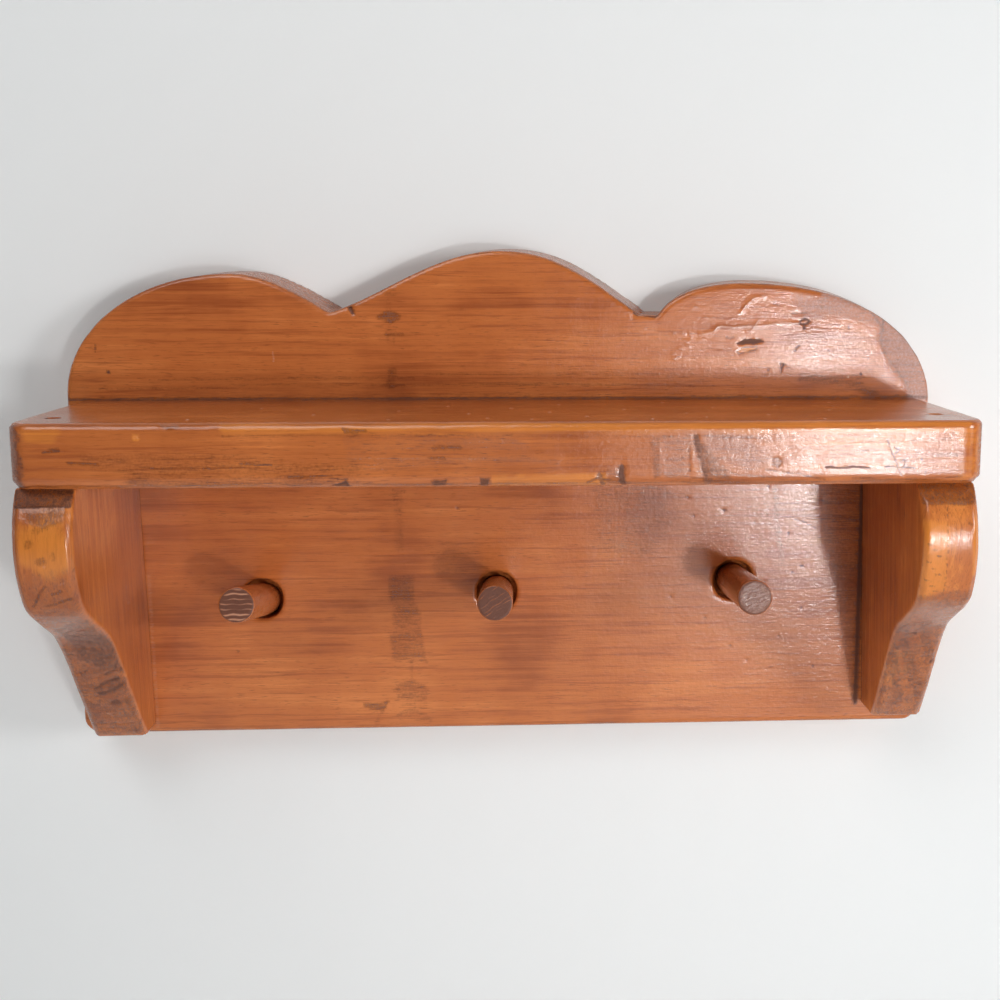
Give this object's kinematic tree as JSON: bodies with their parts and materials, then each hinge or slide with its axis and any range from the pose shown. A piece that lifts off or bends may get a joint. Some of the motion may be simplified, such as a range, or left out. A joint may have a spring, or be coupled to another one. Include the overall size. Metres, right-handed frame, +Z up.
{
  "type": "wall shelf with pegs",
  "caption": "Small wooden wall shelf with a scalloped back board, sawn S-profile side brackets and a row of short dowel pegs under the shelf.",
  "frame": {"origin": "on the wall, in the plane of the back board's back face, mid-length of the back board, level with the shelf's top face", "axes": "+X right along the wall, +Y back into the wall, +Z up"},
  "size_m": [0.32, 0.0987, 0.1821],
  "materials": {
    "back_board_pine": "varnished orange-brown pine, glossy",
    "shelf_pine": "varnished orange-brown pine, glossy",
    "bracket_pine": "varnished orange-brown pine, glossy",
    "peg_dowel": "dark-stained dowel, satin, sawn ends",
    "nail_steel": "dark, oxidised",
    "screw_steel": "zinc-yellow",
    "plate_steel": "bright zinc"
  },
  "bodies": {
    "root": {"back_board": "back_board_pine", "shelf_board": "shelf_pine", "left_bracket": "bracket_pine", "right_bracket": "bracket_pine", "left_peg": "peg_dowel", "middle_peg": "peg_dowel", "right_peg": "peg_dowel", "shelf_nails": "nail_steel", "shelf_screws": "screw_steel", "left_bracket_screws": "screw_steel", "right_bracket_screws": "screw_steel", "hanger_screws": "screw_steel", "left_hanger_plate": "plate_steel", "right_hanger_plate": "plate_steel"}
  },
  "joints": []
}
